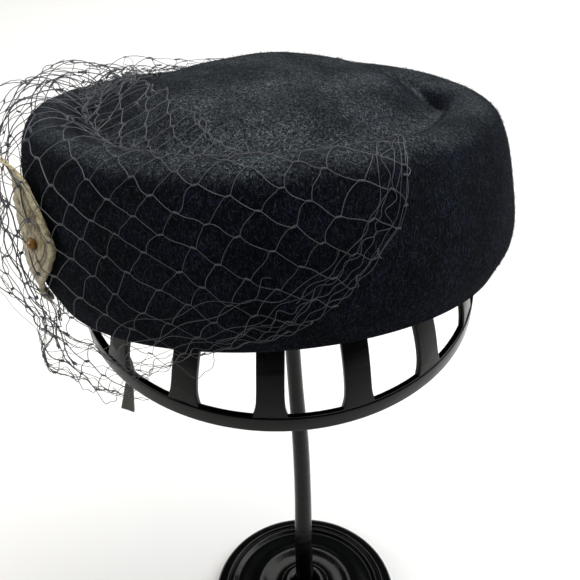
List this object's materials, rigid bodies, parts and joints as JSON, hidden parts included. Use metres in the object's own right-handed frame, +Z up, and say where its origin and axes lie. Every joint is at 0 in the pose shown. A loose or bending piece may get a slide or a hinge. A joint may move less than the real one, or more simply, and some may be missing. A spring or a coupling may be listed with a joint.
{
  "type": "pillbox hat with net veil on its slatted hat stand",
  "caption": "Black felt pillbox hat with a rolled rim, black net veil and tan leather leaf trim, resting on a black slatted dome hat stand.",
  "frame": {"origin": "centre of the stand foot's flat underside, on the surface it stands on", "axes": "+Z up; -X towards the trimmed, veiled end of the hat; +X towards its plain end; -Y towards the side whose hem is tipped up"},
  "size_m": [0.2285, 0.2031, 0.3604],
  "materials": {
    "black_felt": "matte brushed wool felt",
    "black_net": "thin knotted thread net",
    "tan_leather": "crinkled semi-gloss",
    "amber_glass": "polished",
    "dark_leather": "smooth semi-matte",
    "black_plastic": "glossy"
  },
  "bodies": {
    "root": {"felt_crown": "black_felt", "veil": "black_net", "trim_leaf": "tan_leather", "trim_bead": "amber_glass", "trim_tail": "dark_leather", "stand_foot": "black_plastic", "stand_stem": "black_plastic", "stand_ring": "black_plastic", "stand_cap": "black_plastic", "stand_rib_01": "black_plastic", "stand_rib_02": "black_plastic", "stand_rib_03": "black_plastic", "stand_rib_04": "black_plastic", "stand_rib_05": "black_plastic", "stand_rib_06": "black_plastic", "stand_rib_07": "black_plastic", "stand_rib_08": "black_plastic", "stand_rib_09": "black_plastic", "stand_rib_10": "black_plastic", "stand_rib_11": "black_plastic", "stand_rib_12": "black_plastic", "stand_rib_13": "black_plastic", "stand_rib_14": "black_plastic", "stand_rib_15": "black_plastic"}
  },
  "joints": []
}
